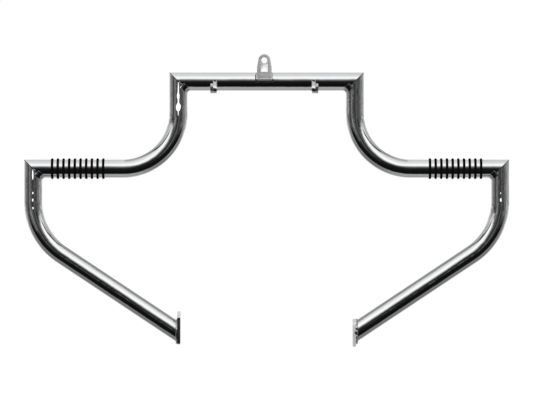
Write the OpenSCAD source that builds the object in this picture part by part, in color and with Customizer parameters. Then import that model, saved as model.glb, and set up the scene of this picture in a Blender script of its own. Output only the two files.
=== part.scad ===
// Chromed crash bar for a motorcycle: one flat run of round tube, mitred at its four
// corners, with two foot rests that carry rubber rings, two bolt-on flange plates at the
// lower ends and one bolt-on bracket on the top tube.
// X runs across the motorcycle, the front is towards -Y, Z is up. The origin is the centre
// of the top bracket's bolt hole, on the bracket's back face. Left and right are as seen
// from the front.

/* [Tube] */
// Outside diameter of the tube
tube_d = 31.75; // [28:0.05:35]
// Wall thickness of the tube
tube_wall = 3; // [2:0.1:4]

/* [Bar shape] */
// Distance between the centrelines of the two upper legs
upper_span = 308; // [260:1:350]
// Distance between the centrelines of the two outer legs
outer_span = 815; // [770:1:900]
// Height of the top tube's centreline above the foot rests' centreline
foot_drop = 152; // [135:1:190]
// Centreline radius of the bends between upper legs and foot rests
upper_bend_r = 97; // [75:1:105]
// Straight length of each outer leg, from its corner to its bend
outer_leg_l = 57; // [40:1:120]
// Centreline radius of the bends in the outer legs
lower_bend_r = 112; // [80:1:140]
// Angle of the lower legs below the horizontal
lower_slope = 33.6; // [28:0.2:42]

/* [Rubber rings] */
// Number of rings on each foot rest
ring_count = 10; // [4:1:12]
// Distance from one ring to the next
ring_pitch = 9.9; // [7:0.1:11]
// Thickness of the rubber
ring_section = 3.8; // [3:0.1:5]
// Depth of the groove that each ring sits in
groove_depth = 1.5; // [0.8:0.1:1.8]
// Distance from the outer leg's centreline to the middle of the row of rings
ring_row_inset = 78; // [72:1:84]

/* [Flange plates] */
// Clear distance between the two flange plates
flange_gap = 301; // [260:1:340]
// Thickness of the plates
flange_t = 5.5; // [4:0.5:8]
// Width of plate left around the tube's end
flange_land = 5; // [4:0.5:9]
// Distance from the tube's centre to the bolt hole
flange_hole_reach = 34; // [32:1:60]
// Diameter of the bolt hole
flange_hole_d = 10.5; // [8:0.5:12.5]
// Width of plate left past the bolt hole
flange_hole_land = 7; // [5:0.5:12]
// Upward tilt of the left plate's bolt hole behind the tube
left_flange_tilt = 28; // [0:1:45]
// Upward tilt of the right plate's bolt hole behind the tube
right_flange_tilt = 0; // [0:1:45]
// Height of the left plate's middle above the middle of the tube's end
left_flange_rise = 0.4; // [-2.4:0.1:2.4]
// Height of the right plate's middle above the middle of the tube's end
right_flange_rise = -2.4; // [-2.4:0.1:2.4]

/* [Top bracket] */
// Sideways place of the bracket and the lugs from the middle of the bar
fitting_shift = -4; // [-20:1:20]
// Height of the bolt hole above the top tube's centreline
bracket_hole_h = 37; // [34:1:60]
// Diameter of the bolt hole
bracket_hole_d = 10.5; // [6.5:0.1:10.5]
// Radius of the bracket's round top
bracket_top_r = 10.4; // [10.2:0.1:12]
// Width of the bracket's foot
bracket_foot_w = 25.4; // [25:0.1:36]
// Height of the foot's parallel sides above the top tube's centreline
bracket_shoulder_h = 24; // [22:1:28]
// Height of the foot's lower edge above the top tube's centreline
bracket_foot_h = 2.7; // [0:0.1:6]
// Distance of the bracket's back face in front of the tube's centreline
bracket_back = 5; // [2:0.5:8]
// Depth of the bracket from front to back
bracket_depth = 14; // [13:0.5:18]
// Thickness of the pocket's floor at the bolt hole
bracket_floor_t = 5; // [3:0.5:8]
// Width of the rim around the pocket
bracket_rim = 4.2; // [3:0.1:4.4]

/* [Lugs] */
// Clear distance between the two lugs under the top tube
lug_gap = 166; // [120:1:220]
// Thickness of a lug
lug_t = 6; // [4:0.5:9]
// Angle of the lugs below the forward direction
lug_angle = 33; // [0:1:60]
// Radius of a lug's round end
lug_end_r = 7.8; // [6:0.1:9]
// Radius of a lug's root, around the tube's centreline
lug_root_r = 11; // [9.5:0.5:13]
// Thread diameter of the lug bolts
bolt_d = 8; // [6:1:8]
// Width of the bolt heads across their flats
bolt_head_w = 13; // [12:0.5:15]
// Height of the bolt heads
bolt_head_h = 5.3; // [4:0.1:7]

/* [Welds] */
// Radius of the ground weld inside each mitred corner
corner_fillet = 5; // [3.5:0.5:8]
// Width of the beads around the flanges, bracket and lugs
bead = 2; // [1:0.1:3]

/* [Hidden] */
$fn = 96;
left = -1;
right = 1;
// Clearance of each ring in its groove and of each bolt in its lug
seat_gap = 0.05;
// Clearance between a bolt head's corners and the tube
head_gap = 0.6;
// Length of bolt that stands out of a lug's inner face
bolt_tip = 1;
// Height of the chamfer on a bolt head, which is twice as wide
head_chamfer = 0.8;
// How far the corner welds stand proud of the tube where they run out, and how far from
// the seam's crossing they start, as a share of the tube's radius
weld_proud = 0.2;
weld_start = 0.6;
// Extra length of a cutter past the face it cuts
past = 1;
// How far flat sides lie inside the rounds that they run into, so that both join
round_lap = 0.02;

tube_r = tube_d / 2;
// What a cut needs to clear a tube across and along
clear_cut = 4 * tube_r;
half_upper = upper_span / 2;
half_outer = outer_span / 2;
upper_leg_l = foot_drop - upper_bend_r;
lower_turn = 90 - lower_slope;
knee_z = -foot_drop - outer_leg_l;
// Where each lower leg's straight run starts
shin_x = half_outer - lower_bend_r * (1 - cos(lower_turn));
shin_z = knee_z - lower_bend_r * sin(lower_turn);
// Inner and outer face of the flange plates, and the tube's centre on the outer face
flange_in = flange_gap / 2;
flange_out = flange_in + flange_t;
flange_z = shin_z - (shin_x - flange_out) * tan(lower_slope);
flange_end_r = tube_r / cos(lower_slope) + flange_land;
flange_near_u = flange_end_r - tube_r - flange_land;
flange_far_u = flange_hole_reach + flange_hole_d / 2 + flange_hole_land - flange_end_r;
ring_r = ring_section / 2;
ring_centre_r = tube_r - groove_depth + ring_r;
ring_row_x = half_outer - ring_row_inset;
pocket_r = bracket_top_r - bracket_rim;
// Where the pocket's floor turns forward, and where it meets the front face
crease_h = bracket_hole_h - pocket_r;
pocket_foot_h = tube_r + past;
bracket_front = bracket_back + bracket_depth;
pocket_floor = bracket_back + bracket_floor_t;
head_corner_r = bolt_head_w / 2 / cos(30);
lug_reach = tube_r + head_corner_r + head_gap;

chrome = [0.80, 0.81, 0.83];
weld_chrome = [0.66, 0.67, 0.69];
bolt_steel = [0.72, 0.72, 0.70];
rubber = [0.05, 0.05, 0.05];

function side_name(side) = side == left ? "left" : "right";
function ring_name(side, i) = str(side_name(side), "_foot_ring_", i < 10 ? "0" : "", i);
function ring_x(i) = ring_row_x + (i - (ring_count + 1) / 2) * ring_pitch;

// Places the bar so that the bracket's bolt hole is at the origin
module bar_frame()
    translate([-fitting_shift, bracket_back, -bracket_hole_h]) children();

module on_side(side)
    if (side == left) mirror([1, 0, 0]) children();
    else children();

// Turns a drawing in the YZ plane and its extrusion along X
module across()
    rotate([90, 0, 90]) children();

module tube_section()
    difference() {
        circle(tube_r);
        circle(tube_r - tube_wall);
    }

// Tube of one bend in the XZ plane with a straight length at each end. The origin is the
// bend's centre, the bend starts at an angle counted from +X towards +Z.
module bent_tube(bend_r, start, sweep, length_before, length_after)
    rotate([90, 0, 0]) rotate([0, 0, start]) {
        rotate_extrude(angle = sweep) translate([bend_r, 0]) tube_section();
        translate([bend_r, 0, 0]) rotate([90, 0, 0]) linear_extrude(length_before) tube_section();
        rotate([0, 0, sweep]) translate([bend_r, 0, 0]) rotate([-90, 0, 0])
            linear_extrude(length_after) tube_section();
    }

// Block on one side of the 45 degree mitre plane through a corner of the right half:
// side 1 takes away what lies below and outside the plane, side -1 what lies above it
module mitre_block(corner_x, corner_z, side)
    translate([corner_x, 0, corner_z]) rotate([0, 45, 0])
        translate([side > 0 ? 0 : -clear_cut, -clear_cut / 2, -clear_cut])
            cube([clear_cut, clear_cut, 2 * clear_cut]);

// Round end of one radius that widens in straight tangents to a root of another radius
module tapered_tab(reach, root_r, end_r) {
    tangent = acos((root_r - end_r) / reach);
    root = (root_r - round_lap) * [cos(tangent), sin(tangent)];
    end = (end_r - round_lap) * [cos(tangent), sin(tangent)];
    circle(root_r);
    translate([reach, 0]) circle(end_r);
    polygon([[root.x, -root.y], [reach + end.x, -end.y], [reach + end.x, end.y], root]);
}

// Solid rod on the top tube's centreline
module top_rod(radius)
    translate([-half_upper, 0, 0]) rotate([0, 90, 0]) cylinder(h = upper_span, r = radius);

module top_tube()
    color(chrome) bar_frame() difference() {
        translate([-half_upper - tube_d, 0, 0]) rotate([0, 90, 0])
            linear_extrude(upper_span + 2 * tube_d) tube_section();
        for (side = [left, right]) on_side(side) mitre_block(half_upper, 0, 1);
    }

// Ring-shaped groove, or ring, at a place along the right foot rest
module foot_torus(x, section_r)
    translate([x, 0, -foot_drop]) rotate([0, 90, 0])
        rotate_extrude() translate([ring_centre_r, 0]) circle(section_r);

// Upper leg, bend and grooved foot rest in one length of tube
module side_tube(side)
    color(chrome) bar_frame() on_side(side) difference() {
        translate([half_upper + upper_bend_r, 0, -upper_leg_l])
            bent_tube(upper_bend_r, 180, 90, upper_leg_l + tube_d,
                      half_outer - half_upper - upper_bend_r + tube_d);
        mitre_block(half_upper, 0, -1);
        mitre_block(half_outer, -foot_drop, 1);
        for (i = [1 : ring_count]) foot_torus(ring_x(i), ring_r + seat_gap);
    }

module foot_ring(side, i)
    color(rubber) bar_frame() on_side(side) foot_torus(ring_x(i), ring_r);

// Line of the lower leg, with its start on the flange's outer face
module shin_frame()
    translate([flange_out, 0, flange_z]) rotate([0, 90 - lower_slope, 0]) children();

// Outer leg, bend and lower leg in one length of tube
module leg_tube(side)
    color(chrome) bar_frame() on_side(side) difference() {
        translate([half_outer - lower_bend_r, 0, knee_z])
            bent_tube(lower_bend_r, -lower_turn, lower_turn,
                      (shin_x - flange_out) / cos(lower_slope) + tube_d, outer_leg_l + tube_d);
        mitre_block(half_outer, -foot_drop, -1);
        translate([flange_out - clear_cut, -clear_cut / 2, flange_z - clear_cut])
            cube([clear_cut, clear_cut, 2 * clear_cut]);
    }

// Oblong plate with one bolt hole behind the tube
module flange(side)
    color(chrome) bar_frame() on_side(side)
        translate([flange_in, 0, flange_z + (side == left ? left_flange_rise : right_flange_rise)])
            rotate([side == left ? left_flange_tilt : right_flange_tilt, 0, 0])
                across() linear_extrude(flange_t) difference() {
                    union() {
                        translate([flange_near_u, 0]) circle(flange_end_r);
                        translate([flange_far_u, 0]) circle(flange_end_r);
                        translate([flange_near_u, round_lap - flange_end_r])
                            square([flange_far_u - flange_near_u, 2 * (flange_end_r - round_lap)]);
                    }
                    translate([flange_hole_reach, 0]) circle(flange_hole_d / 2);
                }

module flange_weld(side)
    color(weld_chrome) bar_frame() on_side(side) intersection() {
        translate([flange_out, -clear_cut / 2, flange_z - clear_cut])
            cube([bead, clear_cut, 2 * clear_cut]);
        shin_frame() translate([0, 0, -clear_cut]) difference() {
            cylinder(h = 2 * clear_cut, r = tube_r + bead);
            cylinder(h = 2 * clear_cut, r = tube_r);
        }
    }

// Concave weld in the inner half of a mitred corner, faded out towards the outer side
module corner_weld(side, corner_x, corner_z)
    color(weld_chrome) bar_frame() on_side(side) translate([corner_x, 0, corner_z])
        difference() {
            intersection() {
                translate([-tube_r - corner_fillet, 0, -tube_r - corner_fillet])
                    rotate([90, 0, 0]) rotate_extrude(angle = 90)
                        translate([tube_r + corner_fillet, 0]) circle(tube_r + weld_proud);
                rotate([0, 45, 0]) translate([-corner_fillet, -tube_d, -2 * tube_d])
                    cube([2 * corner_fillet, 2 * tube_d, 2 * tube_d - weld_start * tube_r]);
            }
            cylinder(h = 2 * clear_cut, r = tube_r, center = true);
            rotate([0, 90, 0]) cylinder(h = 2 * clear_cut, r = tube_r, center = true);
        }

// Outline of the top bracket in the XZ plane, grown by a margin
module bracket_outline(grow) {
    translate([0, bracket_shoulder_h]) rotate(90)
        tapered_tab(bracket_hole_h - bracket_shoulder_h, bracket_foot_w / 2 + grow,
                    bracket_top_r + grow);
    translate([round_lap - bracket_foot_w / 2 - grow, bracket_foot_h - grow])
        square([bracket_foot_w + 2 * (grow - round_lap), bracket_shoulder_h - bracket_foot_h + grow]);
}

// Extrudes an XZ outline from one distance in front of the tube's centreline to another
module facing(back, front)
    translate([fitting_shift, -back, 0]) rotate([90, 0, 0]) linear_extrude(front - back)
        children();

module bracket_block()
    facing(bracket_back, bracket_front) intersection() {
        bracket_outline(0);
        translate([-bracket_foot_w, bracket_foot_h])
            square([2 * bracket_foot_w, bracket_hole_h + bracket_foot_w]);
    }

// Forged tab that hugs the tube, with a rimmed pocket whose floor turns forward at a crease
module top_bracket()
    color(chrome) bar_frame() difference() {
        bracket_block();
        top_rod(tube_r);
        intersection() {
            facing(pocket_floor - past, bracket_front + past) {
                translate([0, bracket_hole_h]) circle(pocket_r);
                translate([round_lap - pocket_r, 0])
                    square([2 * (pocket_r - round_lap), bracket_hole_h]);
            }
            translate([fitting_shift - bracket_foot_w / 2, 0, 0])
                across() linear_extrude(bracket_foot_w) polygon([
                    [-pocket_floor, bracket_hole_h + bracket_top_r],
                    [-pocket_floor, crease_h],
                    [-bracket_front, pocket_foot_h],
                    [-bracket_front - past, pocket_foot_h],
                    [-bracket_front - past, bracket_hole_h + bracket_top_r]
                ]);
        }
        facing(bracket_back - past, bracket_front)
            translate([0, bracket_hole_h]) circle(bracket_hole_d / 2);
    }

module top_bracket_weld()
    color(weld_chrome) bar_frame() difference() {
        intersection() {
            facing(bracket_back - bead, bracket_front) bracket_outline(bead);
            top_rod(tube_r + bead);
        }
        bracket_block();
        top_rod(tube_r);
    }

// Frame of a lug: the origin on the tube's centreline at the lug's inner face, Y towards
// the bolt and X outward
module lug_frame(side)
    translate([fitting_shift, 0, 0]) on_side(side)
        translate([lug_gap / 2, 0, 0]) rotate([180 + lug_angle, 0, 0]) children();

module lug_blank()
    across() linear_extrude(lug_t) tapered_tab(lug_reach, lug_root_r, lug_end_r);

module lug(side)
    color(chrome) bar_frame() difference() {
        lug_frame(side) difference() {
            lug_blank();
            across() linear_extrude(3 * lug_t, center = true)
                translate([lug_reach, 0]) circle(bolt_d / 2 + seat_gap);
        }
        top_rod(tube_r);
    }

module lug_weld(side)
    color(weld_chrome) bar_frame() difference() {
        intersection() {
            lug_frame(side) translate([-bead, 0, 0]) across() linear_extrude(lug_t + 2 * bead)
                tapered_tab(lug_reach, lug_root_r + bead, lug_end_r + bead);
            top_rod(tube_r + bead / 2);
        }
        lug_frame(side) lug_blank();
        top_rod(tube_r);
    }

// Hexagon bolt with its head on the lug's outer face and one corner straight up
module lug_bolt(side)
    color(bolt_steel) bar_frame() lug_frame(side)
        translate([0, lug_reach, 0]) rotate([-lug_angle, 0, 0]) across() {
            translate([0, 0, -bolt_tip]) cylinder(h = lug_t + bolt_tip, r = bolt_d / 2);
            translate([0, 0, lug_t]) intersection() {
                rotate(30) cylinder(h = bolt_head_h, r = head_corner_r, $fn = 6);
                rotate_extrude() polygon([
                    [0, 0], [head_corner_r, 0],
                    [head_corner_r, bolt_head_h - head_chamfer],
                    [head_corner_r - 2 * head_chamfer, bolt_head_h], [0, bolt_head_h]
                ]);
            }
        }

top_tube();
top_bracket();
top_bracket_weld();
for (side = [left, right]) {
    name = side_name(side);
    side_tube(side);
    leg_tube(side);
    flange(side);
    flange_weld(side);
    corner_weld(side, half_upper, 0);
    corner_weld(side, half_outer, -foot_drop);
    lug(side);
    lug_weld(side);
    lug_bolt(side);
    for (i = [1 : ring_count])
        foot_ring(side, i);
}
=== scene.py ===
import math
import random

import bmesh
import bpy
from mathutils import Matrix, Vector


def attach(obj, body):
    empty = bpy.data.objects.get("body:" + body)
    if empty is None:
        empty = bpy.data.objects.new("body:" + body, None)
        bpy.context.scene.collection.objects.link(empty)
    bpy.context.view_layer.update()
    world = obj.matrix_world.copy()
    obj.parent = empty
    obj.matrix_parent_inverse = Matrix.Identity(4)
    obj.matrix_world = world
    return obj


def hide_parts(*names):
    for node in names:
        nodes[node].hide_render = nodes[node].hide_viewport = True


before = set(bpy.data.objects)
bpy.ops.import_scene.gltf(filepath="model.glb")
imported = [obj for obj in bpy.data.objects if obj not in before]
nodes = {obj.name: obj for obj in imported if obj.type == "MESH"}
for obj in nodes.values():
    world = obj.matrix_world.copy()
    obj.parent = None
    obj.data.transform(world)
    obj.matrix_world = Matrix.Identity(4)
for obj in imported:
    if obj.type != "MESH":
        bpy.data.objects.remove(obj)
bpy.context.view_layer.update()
random.seed(7)

# The bar's measures in metres, as in the part's source
SHIFT = Vector((0.004, 0.005, -0.037))     # the bar's own frame in the row frame
TUBE_R = 0.015875
WALL = 0.003
HALF_UPPER = 0.154                         # from the middle to an upper leg
HALF_OUTER = 0.4075                        # from the middle to an outer leg
FOOT_DROP = 0.152                          # from the top tube down to the foot rests
UPPER_BEND = 0.097
OUTER_LEG = 0.057
LOWER_BEND = 0.112
SLOPE = math.radians(33.6)
RING_COUNT = 10
RING_PITCH = 0.0099
RING_R = 0.0019
RING_GAP = 0.00005
RING_INSET = 0.078
GROOVE = 0.0015
FLANGE_OUT = 0.156
FLANGE_T = 0.0055
FLANGE_LAND = 0.005                        # width of plate around the tube's end
HOLE_REACH = 0.034
HOLE_R = 0.00525
HOLE_LAND = 0.007
LEFT_TILT = math.radians(28)
LEFT_RISE = 0.0004
RIGHT_RISE = -0.0024
FIT_SHIFT = -0.004                         # the bracket and the lugs sit off the middle
LUG_GAP = 0.166
LUG_T = 0.006
LUG_ROOT = 0.011
LUG_ANGLE = math.radians(33)
BRACKET_W = 0.0254
BRACKET_BACK = 0.005

# Fine forms that only this script makes, in metres
RING_WIDE = 0.00225                        # half width of a ring, pressed flat by its stretch
SEAM_DEPTH = 0.0005                        # V groove along each mitre
SEAM_HALF = 0.0009
SEAM_SHOULDER = 1.6 * SEAM_HALF            # a ring of points that keeps the tube straight beside it
SEAM_LINE_R = 0.0008                       # weld line in the groove, thinner and deeper at its tip
SEAM_LINE_SLIM = 0.0004
SEAM_LINE_WAVE = 0.0001
SEAM_LINE_SINK = 0.0002
SEAM_TIP_SINK = 0.0003
BEAD_LIFT = 0.0002
BRACKET_TOE = 0.0030                       # height and forward lift of the bracket's weld
TOE_LIFT = 0.0022
TOE_R = 0.0009                             # painted shade: a dark line at that weld's foot, where an undercut lies in shade
TOE_SPREAD = 0.0024
TOE_DROP = 0.0013
TOE_TOP = 0.0115
TOE_TURN = 0.35                            # radians that the line climbs at its far end
LEFT_TOP = 0.0266                          # upper end of the left plate's straight near edge
LEFT_CORNER = 0.003
RIGHT_LAND = 0.0024
RIGHT_CORNER = 0.013
POCKET_IN = 0.001                          # the bracket's pocket, behind its front and beside its middle
POCKET_HALF = 0.0072
EDGE = {"corner_weld": 0.0005, "bracket": 0.0007, "plate": 0.0006, "lug": 0.0026, "bolt": 0.0003}
BEVEL_FROM = math.radians(28)
MERGE = 0.00001
TINY = 1e-9

# Radius, pitch and ripple of each weld bead, and the outline of one of its scales
BEADS = {"bracket": (0.0022, 0.0060, 0.15), "lug": (0.0009, 0.0018, 0.20),
         "left_flange": (0.0027, 0.0100, 0.05), "right_flange": (0.0034, 0.0088, 0.42)}
SCALE = (0.0, 0.62, 0.86, 0.96, 1.0, 1.0, 1.0, 1.0, 0.98, 0.92, 0.78, 0.5)
SCALE_JITTER = 0.12
BEAD_END = 0.35                            # share of the radius at a bead's two ends
BEAD_END_STEPS = 6

# Points around each section
ROUND = 96
RING_AROUND, RING_SECTION = 120, 24
BEAD_SECTION = 14
SEAM_AROUND, SEAM_SECTION = 144, 16

RING_ROW_X = HALF_OUTER - RING_INSET
LOWER_TURN = math.pi / 2 - SLOPE
KNEE_Z = -FOOT_DROP - OUTER_LEG
SHIN_X = HALF_OUTER - LOWER_BEND * (1 - math.cos(LOWER_TURN))
SHIN_Z = KNEE_Z - LOWER_BEND * math.sin(LOWER_TURN)
FLANGE_Z = SHIN_Z - (SHIN_X - FLANGE_OUT) * math.tan(SLOPE)
FLANGE_END_R = TUBE_R / math.cos(SLOPE) + FLANGE_LAND
FAR_REACH = HOLE_REACH + HOLE_R + HOLE_LAND - FLANGE_END_R
LEFT_LOW = (FLANGE_END_R - TUBE_R - FLANGE_LAND) * math.sin(LEFT_TILT) - FLANGE_END_R
SIDES = {"left": -1, "right": 1}
FRONT = Vector((0, -1, 0))


# Helpers for nodes

def node(tree, kind, **values):
    n = tree.nodes.new(kind)
    for name, value in values.items():
        setattr(n, name, value)
    return n


def feed(tree, socket, value):
    """Links a socket to a socket, or sets it to a number."""
    if isinstance(value, (int, float)):
        socket.default_value = value
    else:
        tree.links.new(value, socket)


def math_node(tree, operation, *values):
    n = node(tree, "ShaderNodeMath", operation=operation)
    for socket, value in zip(n.inputs, values):
        feed(tree, socket, value)
    return n.outputs[0]


def ramp(tree, fac, stops):
    n = node(tree, "ShaderNodeValToRGB")
    while len(n.color_ramp.elements) < len(stops):
        n.color_ramp.elements.new(0.5)
    for e, (pos, value) in zip(n.color_ramp.elements, stops):
        e.position = pos
        e.color = (*((value,) * 3 if isinstance(value, float) else value), 1)
    tree.links.new(fac, n.inputs[0])
    return n.outputs[0]


def noise(tree, scale, detail=4.0, roughness=0.5):
    coords = node(tree, "ShaderNodeTexCoord")
    n = node(tree, "ShaderNodeTexNoise")
    n.inputs["Scale"].default_value = scale
    n.inputs["Detail"].default_value = detail
    n.inputs["Roughness"].default_value = roughness
    tree.links.new(coords.outputs["Object"], n.inputs["Vector"])
    return n.outputs["Fac"]


def bump(tree, height, strength, distance, normal=None):
    n = node(tree, "ShaderNodeBump")
    n.inputs["Strength"].default_value = strength
    n.inputs["Distance"].default_value = distance
    tree.links.new(height, n.inputs["Height"])
    if normal is not None:
        tree.links.new(normal, n.inputs["Normal"])
    return n.outputs[0]


def material(name, metallic, colours, roughness, bumps, colour_scale, rough_scale, specular=0.5):
    """Colour and roughness each vary between two values, and the bumps are (scale, strength,
    distance)."""
    m = bpy.data.materials.new(name)
    m.use_nodes = True
    tree = m.node_tree
    shader = tree.nodes["Principled BSDF"]
    shader.inputs["Metallic"].default_value = metallic
    shader.inputs["Specular IOR Level"].default_value = specular
    tree.links.new(ramp(tree, noise(tree, colour_scale), [(0.3, colours[0]), (0.7, colours[1])]),
                   shader.inputs["Base Color"])
    tree.links.new(ramp(tree, noise(tree, rough_scale, 6.0, 0.6),
                        [(0.35, roughness[0]), (0.7, roughness[1])]), shader.inputs["Roughness"])
    normal = None
    for scale, strength, distance in bumps:
        normal = bump(tree, noise(tree, scale, 2.0), strength, distance, normal)
    tree.links.new(normal, shader.inputs["Normal"])
    return m


CHROME = material("chrome", 1.0, ((0.85, 0.86, 0.875), (0.90, 0.905, 0.91)), (0.01, 0.03),
                  [(18, 0.40, 0.002), (45, 0.30, 0.0014), (210, 0.10, 0.0003)], 25, 60)
CAST = material("chrome_cast", 0.55, ((0.50, 0.50, 0.505), (0.66, 0.66, 0.665)), (0.30, 0.46),
                [(120, 0.30, 0.0006), (900, 0.15, 0.0001)], 300, 200)
PLATE = material("chrome_plate", 1.0, ((0.82, 0.83, 0.845), (0.89, 0.895, 0.90)), (0.05, 0.12),
                 [(90, 0.20, 0.0006), (700, 0.10, 0.0001)], 90, 200)
# Painted light: a paler, less metallic copy of the chrome, so the right plate shows the lighter grey its
# lighting gives it
PALE_PAINTED = material("chrome_painted_pale", 0.3, ((0.56, 0.56, 0.565), (0.70, 0.70, 0.705)), (0.25, 0.40),
                [(90, 0.20, 0.0006)], 90, 200)
# Painted highlight: a brighter, paler copy of the bracket's cast finish, for the faces in its pocket
POCKET_PAINTED_BRIGHT = material("pocket_painted_highlight", 0.2, ((0.88, 0.88, 0.885), (0.95, 0.95, 0.95)), (0.20, 0.35),
                  [(90, 0.20, 0.0006)], 90, 200)
GROUND = material("chrome_ground_weld", 1.0, ((0.74, 0.75, 0.76), (0.88, 0.885, 0.89)), (0.05, 0.14),
                  [(150, 0.25, 0.0006)], 200, 240)
# Near black: the weld lines in the mitres, and painted shade along the foot of the bracket's weld
SEAM_AND_SHADE = material("seam_line_and_painted_shade", 0.6, ((0.01, 0.01, 0.01), (0.06, 0.06, 0.06)), (0.35, 0.55),
                [(800, 0.30, 0.0002)], 300, 400)
WELD = material("chrome_weld", 1.0, ((0.66, 0.67, 0.69), (0.84, 0.845, 0.855)), (0.03, 0.08),
                [(500, 0.10, 0.0003)], 240, 300)
# Painted shade: a darker copy of the weld chrome, so the flange welds show the dark that they reflect
SHADED_WELD = material("chrome_weld_painted_dark", 1.0, ((0.48, 0.48, 0.485), (0.62, 0.62, 0.625)),
                     (0.03, 0.08), [(500, 0.10, 0.0003)], 240, 300)
BOLT = material("bolt_zinc", 1.0, ((0.68, 0.68, 0.66), (0.82, 0.82, 0.80)), (0.10, 0.18),
                [(700, 0.20, 0.0002)], 180, 400)
RUBBER = material("ring_rubber", 0.0, ((0.002, 0.002, 0.002), (0.005, 0.005, 0.005)), (0.55, 0.75),
                  [(1500, 0.25, 0.0002)], 300, 500, 0.03)
RUBBER.node_tree.nodes["Principled BSDF"].inputs["IOR"].default_value = 1.03


# Helpers for meshes

def at(x, z):
    return Vector((x, 0, z))


def spaced(first, last, count):
    """Even values from first to last, both of them included."""
    return [first + (last - first) * i / count for i in range(count + 1)]


def ring_of(centre, side, up, radius, count):
    return [centre + radius * (math.cos(t) * side + math.sin(t) * up)
            for t in (2 * math.pi * j / count for j in range(count))]


def grid_faces(rows, columns, close_rows=False):
    """Quads between rows of points that each close on themselves."""
    faces = []
    for i in range(rows if close_rows else rows - 1):
        a, b = i * columns, (i + 1) % rows * columns
        for j in range(columns):
            k = (j + 1) % columns
            faces.append((a + j, a + k, b + k, b + j))
    return faces


def capped_faces(rows, columns, first=0):
    """Quads between rows of points and a face over each end, for points numbered from first."""
    faces = grid_faces(rows, columns)
    faces.append(tuple(reversed(range(columns))))
    faces.append(tuple(range((rows - 1) * columns, rows * columns)))
    return [tuple(first + v for v in face) for face in faces]


def row_place(mirror):
    """From the bar's own right half, or its mirror image, to the row frame."""
    return Matrix.Translation(SHIFT) @ Matrix.Diagonal((mirror, 1, 1, 1))


def added(name, data):
    """A new object in the scene."""
    o = bpy.data.objects.new(name, data)
    bpy.context.scene.collection.objects.link(o)
    return o


def finish_piece(name, verts, faces, finish, replaced, mirror, sharp=40):
    """Makes a mesh piece of points in the bar's own right half and puts it in the row frame."""
    place = row_place(mirror)
    data = bpy.data.meshes.new(name)
    if mirror < 0:
        faces = [tuple(reversed(f)) for f in faces]
    data.from_pydata([place @ Vector(v) for v in verts], [], faces)
    data.validate()
    data.shade_smooth()
    data.set_sharp_from_angle(angle=math.radians(sharp))
    data.materials.append(finish)
    piece = added(name, data)
    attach(piece, "root")
    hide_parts(*replaced)
    return piece


# Tubes with their mitres and ring grooves

def tube(name, stations, start_plane, end_plane, replaced, mirror):
    """Hollow tube along (point, direction, outside radius) stations in the XZ plane. Its end
    rings slide along the tube until they lie in the planes (point, normal), and a mitred end
    is chamfered by the seam's depth."""
    def to_plane(ring, along, plane, back):
        return [p + along * ((plane[0] - p).dot(plane[1]) / along.dot(plane[1]) + back) for p in ring]

    outer, inner = [], []
    for k, (point, along, radius) in enumerate(stations):
        side = along.cross(FRONT)
        plane, inward = ((start_plane, 1) if k == 0 else
                         (end_plane, -1) if k == len(stations) - 1 else (None, 0))
        rings = [ring_of(point, side, FRONT, r, ROUND) for r in (radius, TUBE_R - WALL)]
        if plane is None:
            outer.append(rings[0])
            inner.append(rings[1])
            continue
        hollow = to_plane(rings[1], along, plane, 0)
        cut_upright = plane[1].z == 0
        if cut_upright:
            ends = [to_plane(rings[0], along, plane, 0)]
        else:
            narrow = ring_of(point, side, FRONT, radius - SEAM_DEPTH, ROUND)
            ends = [to_plane(rings[0], along, plane, inward * SEAM_SHOULDER),
                    to_plane(rings[0], along, plane, inward * SEAM_HALF),
                    to_plane(narrow, along, plane, 0)]
        outer += ends if inward < 0 else ends[::-1]
        inner += [hollow] * len(ends)
    rows = len(outer)
    verts = [p for ring in outer + inner for p in ring]
    skin = grid_faces(rows, ROUND)
    total = rows * ROUND
    faces = list(skin) + [tuple(total + i for i in reversed(f)) for f in skin]
    for row, flip in ((0, True), (rows - 1, False)):
        for j in range(ROUND):
            k = (j + 1) % ROUND
            a = row * ROUND
            quad = (a + j, a + k, total + a + k, total + a + j)
            faces.append(tuple(reversed(quad)) if flip else quad)
    return finish_piece(name, verts, faces, CHROME, replaced, mirror)


def straight(start, end, count, radius_at=None, marks=()):
    """Stations from start to end, with more of them at the marked distances."""
    along = (end - start).normalized()
    length = (end - start).length
    steps = sorted({round(length * i / count, 7) for i in range(count + 1)} | set(marks))
    return [(start + along * s, along, radius_at(s) if radius_at else TUBE_R) for s in steps]


def bend(centre, radius, first, last, count):
    """Stations on an arc in the XZ plane, angles from +X towards +Z."""
    turn = 1 if last > first else -1
    return [(centre + radius * Vector((math.cos(a), 0, math.sin(a))),
             turn * Vector((-math.sin(a), 0, math.cos(a))), TUBE_R)
            for a in spaced(first, last, count)]


ring_row = [RING_ROW_X + (i - (RING_COUNT + 1) / 2) * RING_PITCH for i in range(1, RING_COUNT + 1)]
groove_centre = TUBE_R - GROOVE + RING_R
groove_half = (RING_WIDE + RING_GAP) * math.sqrt(1 - ((RING_R - GROOVE) / (RING_R + RING_GAP)) ** 2)
foot_start = HALF_UPPER + UPPER_BEND
groove_marks = [round(centre - foot_start + groove_half * math.sin(t * math.pi / 12), 7)
                for centre in ring_row for t in range(-6, 7)]


def grooved(s):
    """Outside radius of the foot rest at a distance from its bend."""
    x = foot_start + s
    for centre in ring_row:
        if abs(x - centre) <= groove_half + TINY:
            share = math.sqrt(max(0, 1 - ((x - centre) / (RING_WIDE + RING_GAP)) ** 2))
            return min(TUBE_R, groove_centre - (RING_R + RING_GAP) * share)
    return TUBE_R


mitre = Vector((1, 0, -1)).normalized()
corner_top = at(HALF_UPPER, 0)
corner_foot = at(HALF_OUTER, -FOOT_DROP)


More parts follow.
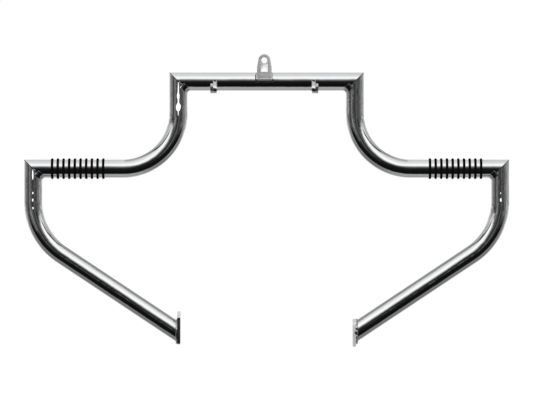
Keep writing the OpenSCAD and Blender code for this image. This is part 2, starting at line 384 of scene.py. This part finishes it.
def top_tube():
    left_corner = at(-HALF_UPPER, 0)
    left_mitre = Vector((1, 0, 1)).normalized()
    tube("bar_top_tube", straight(left_corner, corner_top, 40), (left_corner, left_mitre),
         (corner_top, mitre), ["top_tube"], 1)


def side_tube(side, mirror):
    upper = straight(corner_top, at(HALF_UPPER, -FOOT_DROP + UPPER_BEND), 8)
    turn = bend(at(foot_start, -FOOT_DROP + UPPER_BEND), UPPER_BEND, math.pi, 1.5 * math.pi, 56)
    foot = straight(at(foot_start, -FOOT_DROP), corner_foot, 30, grooved, groove_marks)
    tube(f"bar_{side}_side_tube", upper[:-1] + turn + foot[1:], (corner_top, mitre),
         (corner_foot, mitre), [f"{side}_side_tube"], mirror)


def leg_tube(side, mirror):
    outer = straight(corner_foot, at(HALF_OUTER, KNEE_Z), 8)
    turn = bend(at(HALF_OUTER - LOWER_BEND, KNEE_Z), LOWER_BEND, 0, -LOWER_TURN, 40)
    shin = straight(at(SHIN_X, SHIN_Z), at(FLANGE_OUT, FLANGE_Z), 20)
    tube(f"bar_{side}_leg_tube", outer[:-1] + turn + shin[1:], (corner_foot, mitre),
         (at(FLANGE_OUT, FLANGE_Z), Vector((1, 0, 0))), [f"{side}_leg_tube"], mirror)


def rubber_ring(name, x, replaced, mirror):
    verts = []
    for i in range(RING_AROUND):
        t = 2 * math.pi * i / RING_AROUND
        out = Vector((0, math.cos(t), math.sin(t)))
        verts += ring_of(at(x, -FOOT_DROP) + out * groove_centre, out * RING_R,
                         Vector((RING_WIDE, 0, 0)), 1, RING_SECTION)
    finish_piece(name, verts, grid_faces(RING_AROUND, RING_SECTION, True), RUBBER,
                 replaced, mirror, sharp=60)


top_tube()
for side, mirror in SIDES.items():
    side_tube(side, mirror)
    leg_tube(side, mirror)
for side, mirror in SIDES.items():
    for i, x in enumerate(ring_row, 1):
        rubber_ring(f"ring_{side}_{i:02d}", x, [f"{side}_foot_ring_{i:02d}"], mirror)


# Rippled weld beads

def resample(path, step):
    """Points at even steps along a polyline."""
    lengths = [0.0]
    for a, b in zip(path, path[1:]):
        lengths.append(lengths[-1] + (b - a).length)
    count = max(2, round(lengths[-1] / step))
    points, k = [], 0
    for s in spaced(0, lengths[-1], count):
        while k < len(path) - 2 and lengths[k + 1] < s:
            k += 1
        share = (s - lengths[k]) / max(TINY, lengths[k + 1] - lengths[k])
        points.append(path[k].lerp(path[k + 1], min(1, max(0, share))))
    return points


def section_axes(points, i, normal_at, closed=False):
    """Side and up directions of a bead's section at point i of its path."""
    before = points[i - 1] if closed or i else points[i]
    after = points[(i + 1) % len(points)] if closed or i < len(points) - 1 else points[i]
    along = (after - before).normalized()
    up = normal_at(points[i])
    up = (up - along * up.dot(along)).normalized()
    return along.cross(up), up


def bead(name, path, normal_at, measures, replaced, mirror, closed, toe=(), finish=WELD):
    """Rippled weld bead along a path: rounded scales one pitch long, narrower by the ripple's
    share where they meet. A toe is the path of a dark line at the bead's foot: painted shade."""
    radius, pitch, ripple = measures
    points = resample(path, pitch / len(SCALE))
    if closed:
        points = points[:-1]
    verts, n = [], len(points)
    jitter = [random.uniform(-SCALE_JITTER, SCALE_JITTER) for _ in range(n // len(SCALE) + 2)]
    for i, p in enumerate(points):
        scale, step = divmod(i, len(SCALE))
        swell = jitter[scale] * math.sin(math.pi * step / len(SCALE))
        r = radius * (1 + ripple * (SCALE[step] - 1 + swell))
        if not closed:
            r *= min(1, BEAD_END + (1 - BEAD_END) * min(i, n - 1 - i) / BEAD_END_STEPS)
        verts += ring_of(p, *section_axes(points, i, normal_at, closed), r, BEAD_SECTION)
    faces = grid_faces(n, BEAD_SECTION, True) if closed else capped_faces(n, BEAD_SECTION)
    bead_faces = len(faces)
    for i, p in enumerate(toe):
        verts += ring_of(p, *section_axes(toe, i, normal_at), TOE_R, BEAD_SECTION)
    if toe:
        faces += capped_faces(len(toe), BEAD_SECTION, n * BEAD_SECTION)
    piece = finish_piece(name, verts, faces, finish, replaced, mirror, sharp=75)
    piece.data.materials.append(SEAM_AND_SHADE)
    for face in piece.data.polygons[bead_faces:]:
        face.material_index = 1


def flange_bead(side, mirror):
    centre = at(FLANGE_OUT, FLANGE_Z)
    r = TUBE_R + BEAD_LIFT
    path = [Vector((FLANGE_OUT + BEAD_LIFT, r * math.cos(t),
                    FLANGE_Z + r / math.cos(SLOPE) * math.sin(t))) for t in spaced(0, 2 * math.pi, 160)]
    bead(f"weld_{side}_flange", path, lambda p: (p - centre).normalized() + Vector((1, 0, 0)),
         # The flange welds take the darker copy: painted shade
         BEADS[f"{side}_flange"], [f"{side}_flange_weld"], mirror, True, finish=SHADED_WELD)


def on_tube(x, angle, lift=0.0003):
    """Point on the top tube, angle up from the front."""
    r = TUBE_R + lift
    return Vector((x, -r * math.cos(angle), r * math.sin(angle)))


def tube_normal(p):
    return Vector((0, p.y, p.z)).normalized()


def bracket_bead():
    """The weld down the bracket's two sides and along its foot."""
    high = math.acos(BRACKET_BACK / TUBE_R)
    low = math.asin(BRACKET_TOE / TUBE_R)
    left, right = FIT_SHIFT - BRACKET_W / 2, FIT_SHIFT + BRACKET_W / 2
    path = [on_tube(left, a) for a in spaced(high, low, 12)]
    path += [on_tube(x, low, TOE_LIFT) for x in spaced(left, right, 12)[1:-1]]
    path += [on_tube(right, a) for a in spaced(low, high, 12)]
    # The dark toe line round the weld's foot is painted shade
    left -= TOE_SPREAD
    right += TOE_SPREAD
    high, low = math.asin(TOE_TOP / TUBE_R), -math.asin(TOE_DROP / TUBE_R)
    toe = [on_tube(left, a) for a in spaced(high, low, 10)[:-1]]
    toe += [on_tube(x, low) for x in spaced(left, right, 20)]
    toe += [on_tube(right, a) for a in spaced(low, low + TOE_TURN, 5)[1:]]
    bead("weld_bracket", path, tube_normal, BEADS["bracket"], ["top_bracket_weld"], 1, False, toe)


def lug_bead(side, mirror):
    """The weld around the lug's root."""
    half = math.asin(LUG_ROOT / TUBE_R)
    near = LUG_GAP / 2
    far = near + LUG_T
    path = []
    for a, b, xa, xb in ((-half, half, near, near), (half, half, near, far),
                         (half, -half, far, far), (-half, -half, far, near)):
        path += [on_tube(mirror * FIT_SHIFT + x, angle - LUG_ANGLE)
                 for x, angle in zip(spaced(xa, xb, 10)[:-1], spaced(a, b, 10)[:-1])]
    path.append(path[0].copy())
    bead(f"weld_{side}_lug", path, tube_normal, BEADS["lug"], [f"{side}_lug_weld"], mirror, True)


bracket_bead()
for side, mirror in SIDES.items():
    flange_bead(side, mirror)
    lug_bead(side, mirror)


# Bracket, lugs, bolts, corner welds and flange plates

def add_bevel(piece, width):
    round_off = piece.modifiers.new("round_off", "BEVEL")
    round_off.width = width
    round_off.segments = 3
    round_off.limit_method = "ANGLE"
    round_off.angle_limit = BEVEL_FROM
    round_off.harden_normals = True


def softened(cad, finish, width, painted_highlight=None):
    """A copy of a CAD node whose sharp edges are rounded, in the node's place. Faces that a test picks
    by centre and normal get a brighter copy of the finish: a painted highlight."""
    bm = bmesh.new()
    bm.from_mesh(nodes[cad].data)
    bmesh.ops.remove_doubles(bm, verts=bm.verts, dist=MERGE)
    bmesh.ops.dissolve_limit(bm, angle_limit=math.radians(0.6), verts=bm.verts, edges=bm.edges)
    data = bpy.data.meshes.new(f"soft_{cad}")
    bm.to_mesh(data)
    bm.free()
    data.materials.clear()
    data.materials.append(finish)
    if painted_highlight:
        data.materials.append(POCKET_PAINTED_BRIGHT)
        for face in data.polygons:
            face.material_index = int(painted_highlight(face.center, face.normal))
    data.shade_smooth()
    piece = added(f"soft_{cad}", data)
    add_bevel(piece, width)
    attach(piece, "root")
    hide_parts(cad)
    return piece


def corner_weld(cad, corner, mirror):
    """The ground weld inside a corner, with the thin weld line that runs on round the mitre."""
    piece = softened(cad, GROUND, EDGE["corner_weld"])
    piece.data.materials.append(SEAM_AND_SHADE)
    bm = bmesh.new()
    bm.from_mesh(piece.data)
    place = row_place(mirror)
    verts = []
    for i in range(SEAM_AROUND):
        t = 2 * math.pi * i / SEAM_AROUND
        out = Vector((math.sin(t), math.cos(t), math.sin(t)))
        along = Vector((math.cos(t), -math.sin(t), math.cos(t))).normalized()
        r = SEAM_LINE_R - SEAM_LINE_SLIM * math.sin(t) - SEAM_LINE_WAVE * math.sin(math.pi * i / 3)
        depth = SEAM_LINE_SINK + SEAM_TIP_SINK * max(0, math.sin(t))
        verts += [bm.verts.new(place @ v) for v in ring_of(
            corner + out * (TUBE_R - depth), along.cross(out).normalized(),
            (out - along * out.dot(along)).normalized(), r, SEAM_SECTION)]
    for face in grid_faces(SEAM_AROUND, SEAM_SECTION, True):
        new = bm.faces.new([verts[k] for k in face])
        new.material_index = 1
        new.smooth = True
    bmesh.ops.recalc_face_normals(bm, faces=bm.faces)
    bm.to_mesh(piece.data)
    bm.free()


def arc(y, z, r, first, last, count):
    """Points (y, z) on an arc, angles in degrees from +Y towards +Z."""
    return [(y + r * math.cos(math.radians(a)), z + r * math.sin(math.radians(a)))
            for a in spaced(first, last, count)]


def plate(side, mirror, tilt, rise, near, top, low, r, finish):
    """A flange plate with a straight upright near edge from low to top, near corners of radius r
    and a round far end about the bolt hole."""
    far_y, far_z = FAR_REACH * math.cos(tilt), FAR_REACH * math.sin(tilt)

    def tangent(z):
        """Angle where the long edge from the near corner at this height touches both arcs."""
        reach = Vector((far_y - near - r, far_z - z))
        turn = math.acos((r - FLANGE_END_R) / reach.length)
        return math.degrees(math.atan2(reach.y, reach.x) + turn * (1 if z > far_z else -1))

    upper, lower = tangent(top - r), tangent(low + r) % 360
    outline = (arc(far_y, far_z, FLANGE_END_R, lower - 360, upper, 40) +
               arc(near + r, top - r, r, upper, 180, 12) + arc(near + r, low + r, r, 180, lower, 16))
    hole = arc(HOLE_REACH * math.cos(tilt), HOLE_REACH * math.sin(tilt), HOLE_R, 0, 360, 64)[:-1]
    bm = bmesh.new()
    edges = []
    centre = at(0, FLANGE_Z + rise)
    for loop in (outline, hole):
        verts = [bm.verts.new(centre + Vector((FLANGE_OUT, y, z))) for y, z in loop]
        edges += [bm.edges.new((a, b)) for a, b in zip(verts, verts[1:] + verts[:1])]
    bmesh.ops.triangle_fill(bm, edges=edges, use_beauty=True)
    made = bmesh.ops.extrude_face_region(bm, geom=bm.faces[:])
    moved = [g for g in made["geom"] if isinstance(g, bmesh.types.BMVert)]
    bmesh.ops.translate(bm, verts=moved, vec=(-FLANGE_T, 0, 0))
    bmesh.ops.recalc_face_normals(bm, faces=bm.faces)
    bm.verts.index_update()
    piece = finish_piece(f"plate_{side}_flange", [v.co.copy() for v in bm.verts],
                         [tuple(v.index for v in f.verts) for f in bm.faces],
                         finish, [f"{side}_flange"], mirror)
    bm.free()
    add_bevel(piece, EDGE["plate"])


bracket = nodes["top_bracket"]
bracket_front = min((bracket.matrix_world @ v.co).y for v in bracket.data.vertices)


def in_pocket(centre, normal):
    """Whether a face of the bracket is in its pocket and looks forward."""
    return centre.y > bracket_front + POCKET_IN and abs(centre.x) < POCKET_HALF and normal.y < -0.2


# The pocket's forward faces get the painted highlight
softened("top_bracket", CAST, EDGE["bracket"], in_pocket)
for side, mirror in SIDES.items():
    corner_weld(f"{side}_top_corner_weld", corner_top, mirror)
    corner_weld(f"{side}_foot_corner_weld", corner_foot, mirror)
plate("left", -1, LEFT_TILT, LEFT_RISE, near=-TUBE_R - FLANGE_LAND, top=LEFT_TOP, low=LEFT_LOW,
      r=LEFT_CORNER, finish=PLATE)
# The right plate takes the paler copy of the chrome: painted light
plate("right", 1, 0, RIGHT_RISE, near=-TUBE_R - RIGHT_LAND, top=FLANGE_END_R, low=-FLANGE_END_R,
      r=RIGHT_CORNER, finish=PALE_PAINTED)
for side in SIDES:
    softened(f"{side}_lug", PLATE, EDGE["lug"])
    softened(f"{side}_lug_bolt", BOLT, EDGE["bolt"])

for o in nodes.values():
    o.data.materials.clear()
    o.data.materials.append(CHROME)


# Floor and world

FLOOR_HALF = 9.0
FLOOR_Z = -0.75
FLOOR_GLOW = 0.45                          # seen by the camera alone


def plain_floor():
    data = bpy.data.meshes.new("floor")
    data.from_pydata([(x * FLOOR_HALF, y * FLOOR_HALF, FLOOR_Z)
                      for x, y in ((-1, -1), (1, -1), (1, 1), (-1, 1))], [], [(0, 1, 2, 3)])
    m = bpy.data.materials.new("floor_white")
    m.use_nodes = True
    tree = m.node_tree
    shader = tree.nodes["Principled BSDF"]
    shader.inputs["Roughness"].default_value = 0.9
    shader.inputs["Specular IOR Level"].default_value = 0.1
    tree.links.new(ramp(tree, noise(tree, 1.2), [(0.3, 0.86), (0.7, 0.88)]),
                   shader.inputs["Base Color"])
    path = node(tree, "ShaderNodeLightPath")
    shader.inputs["Emission Color"].default_value = (1, 1, 1, 1)
    tree.links.new(math_node(tree, "MULTIPLY", path.outputs["Is Camera Ray"], FLOOR_GLOW),
                   shader.inputs["Emission Strength"])
    data.materials.append(m)
    o = added("floor", data)
    o.visible_glossy = False


def mapped(tree, value, low, high, first=0.0, last=1.0):
    """A value eased from first at low to last at high."""
    n = node(tree, "ShaderNodeMapRange", interpolation_type="SMOOTHSTEP")
    for socket, v in zip(n.inputs, (value, low, high, first, last)):
        feed(tree, socket, v)
    return n.outputs[0]


def mixed(tree, share, first, last):
    """Blend of two values or sockets."""
    n = node(tree, "ShaderNodeMix", data_type="FLOAT")
    for socket, v in ((n.inputs[0], share), (n.inputs[2], first), (n.inputs[3], last)):
        feed(tree, socket, v)
    return n.outputs[0]


def around(tree, first, second, stops):
    """Ramp of the angle between two components of a direction, in degrees from -180 to 180."""
    angle = math_node(tree, "ARCTAN2", first, second)
    share = math_node(tree, "MULTIPLY_ADD", angle, 0.5 / math.pi, 0.5)
    return ramp(tree, share, [(0.5 + degrees / 360, value) for degrees, value in stops])


# Brightness by the angle of a reflected direction. For a level tube it turns upwards from the
# front: floor behind 180, floor, front 0, ceiling 90, wall behind 180.
LEVEL = ((-180, 0.75), (-148, 0.60), (-120, 0.30), (-98, 0.44), (-75, 0.38), (-70.5, 0.012),
         (-53, 0.004), (-6, 0.010), (3, 0.030), (9, 0.045), (15, 0.13), (20, 0.20), (26.5, 0.42),
         (32, 0.70), (38, 1.05), (50, 1.12), (65, 0.90), (80, 0.79), (96, 0.76), (114, 0.66),
         (147, 0.68), (180, 0.75))
BEND_DIP = ((-180, 1.0), (84, 1.0), (99, 0.72), (117, 0.60), (142, 0.72), (170, 1.0))
BEND_UNDER = ((-180, 1.0), (-150, 0.55), (-76, 0.50), (-70, 1.0), (180, 1.0))

# For an upright tube it turns from left to right
STREAKS = ((-180, 0.85), (-150, 0.62), (-128, 0.43), (-108, 0.24), (-96, 0.16), (-82, 0.12),
           (-68, 0.05), (-54, 0.06), (-42, 0.15), (-30, 0.17), (-19, 0.06), (-7, 0.09), (4, 0.13),
           (16, 0.07), (29, 0.042), (41, 0.045), (54, 0.09), (67, 0.13), (80, 0.15), (92, 0.33),
           (108, 0.28), (128, 0.42), (150, 0.58), (180, 0.75))


def level_light(tree, across, front, z):
    """What level and sloping tubes reflect. Bends and slopes are told by the share across."""
    lift = mapped(tree, across, 0.05, 0.16, 0.0, 0.20)
    raised = math_node(tree, "ADD", z, math_node(tree, "MULTIPLY", lift, mapped(tree, z, 0.0, 0.2)))
    level = around(tree, raised, front, LEVEL)
    dip = mixed(tree, mapped(tree, across, 0.03, 0.09), 1.0, around(tree, z, front, BEND_DIP))
    under = mixed(tree, mapped(tree, across, 0.10, 0.55), 1.0, around(tree, z, front, BEND_UNDER))

    # A thin dark line on the upper inner side of the bends, fainter on the sloping legs
    edge = math_node(tree, "ADD", math_node(tree, "MULTIPLY_ADD", across, -2.0, 1.38), front)
    near_edge = mapped(tree, math_node(tree, "ABSOLUTE", edge), 0.10, 0.28, 1.0, 0.0)
    line = mixed(tree, math_node(tree, "MULTIPLY", near_edge, mapped(tree, z, 0.20, 0.40)), 1.0,
                 mapped(tree, across, 0.54, 0.68, 0.66, 0.02))
    for factor in (dip, under, line):
        level = math_node(tree, "MULTIPLY", level, factor)
    return level


def upright_light(tree, coords, x, front):
    """What upright tubes reflect: streaks, broken up by soft patches."""
    patches = node(tree, "ShaderNodeTexNoise")
    patches.inputs["Scale"].default_value = 14.0
    patches.inputs["Detail"].default_value = 5.0
    tree.links.new(coords.outputs["Generated"], patches.inputs["Vector"])
    return math_node(tree, "MULTIPLY", around(tree, x, front, STREAKS),
                     mapped(tree, patches.outputs[0], 0.36, 0.64, 0.35, 2.0))


def studio():
    """World: white for the camera, soft white for matt surfaces, and for metal a bright space
    above, a dark one in front and below, and pale grey behind."""
    world = bpy.data.worlds.new("studio")
    bpy.context.scene.world = world
    world.use_nodes = True
    tree = world.node_tree
    tree.nodes.clear()
    coords = node(tree, "ShaderNodeTexCoord")
    parts = node(tree, "ShaderNodeSeparateXYZ")
    tree.links.new(coords.outputs["Generated"], parts.inputs[0])
    x, y, z = parts.outputs
    front = math_node(tree, "MULTIPLY", y, -1.0)
    across = math_node(tree, "ABSOLUTE", x)
    upright = math_node(tree, "ABSOLUTE", z)
    sideways = math_node(tree, "MULTIPLY", mapped(tree, across, 0.06, 0.20),
                         mapped(tree, upright, 0.12, 0.34, 1.0, 0.0))
    around_metal = mixed(tree, sideways, level_light(tree, across, front, z),
                         upright_light(tree, coords, x, front))

    path = node(tree, "ShaderNodeLightPath")
    background = node(tree, "ShaderNodeBackground")
    tree.links.new(mixed(tree, path.outputs["Is Glossy Ray"], 1.0, around_metal),
                   background.inputs["Color"])
    tree.links.new(math_node(tree, "MULTIPLY_ADD", path.outputs["Is Diffuse Ray"], -0.35, 1.0),
                   background.inputs["Strength"])
    out = node(tree, "ShaderNodeOutputWorld")
    tree.links.new(background.outputs[0], out.inputs[0])


plain_floor()
studio()


# Lamps and camera, in metres and watts

LAMP_TARGET = (0, 0, -0.3)
GLINT_Y = -0.031
GLINT_POWER = 3.2                          # for each unit of a glint's width times its height
VIEW_X, VIEW_Y, VIEW_Z = 0.0038, 0.005, -0.2437
VIEW_DISTANCE = 12.424
LENS = 480.8

# Small lamps close to the legs, which show as glints: place across, height, width and height
GLINTS = ((-0.1496, -0.0665, 0.009, 0.060), (-0.1505, -0.0625, 0.016, 0.011),
          (-0.1496, -0.0815, 0.031, 0.014), (-0.4045, -0.2000, 0.008, 0.018),
          (-0.4045, -0.2315, 0.008, 0.004), (-0.4045, -0.2440, 0.008, 0.005),
          (-0.4045, -0.2577, 0.008, 0.004), (0.4150, -0.2437, 0.010, 0.007),
          (0.4140, -0.2318, 0.005, 0.003))


def soft_lamp(name, place, target, size, power, mirrored=False):
    """An area lamp. A mirrored one is round and shows in the chrome."""
    data = bpy.data.lights.new(name, "AREA")
    data.shape = "ELLIPSE" if mirrored else "RECTANGLE"
    data.size, data.size_y = size
    data.energy = power
    lamp = added(name, data)
    lamp.location = place
    lamp.rotation_euler = (Vector(target) - Vector(place)).to_track_quat("-Z", "Y").to_euler()
    lamp.visible_glossy = mirrored
    lamp.visible_camera = False


soft_lamp("key", (-1.6, -2.0, 2.4), LAMP_TARGET, (1.6, 1.6), 55)
soft_lamp("fill", (2.2, -1.6, 1.4), LAMP_TARGET, (1.8, 1.8), 22)
for i, (across, height, *size) in enumerate(GLINTS, 1):
    soft_lamp(f"glint_{i}", (across, GLINT_Y, height), (across, 0, height), size,
              GLINT_POWER * size[0] * size[1], True)

camera_data = bpy.data.cameras.new("camera")
camera_data.sensor_width = 36
camera_data.lens = LENS
camera_data.clip_end = 50
camera = added("camera", camera_data)
camera.location = (VIEW_X, VIEW_Y - VIEW_DISTANCE, VIEW_Z)
camera.rotation_euler = (math.pi / 2, 0, 0)
bpy.context.scene.camera = camera
bpy.context.scene.view_settings.view_transform = "Standard"
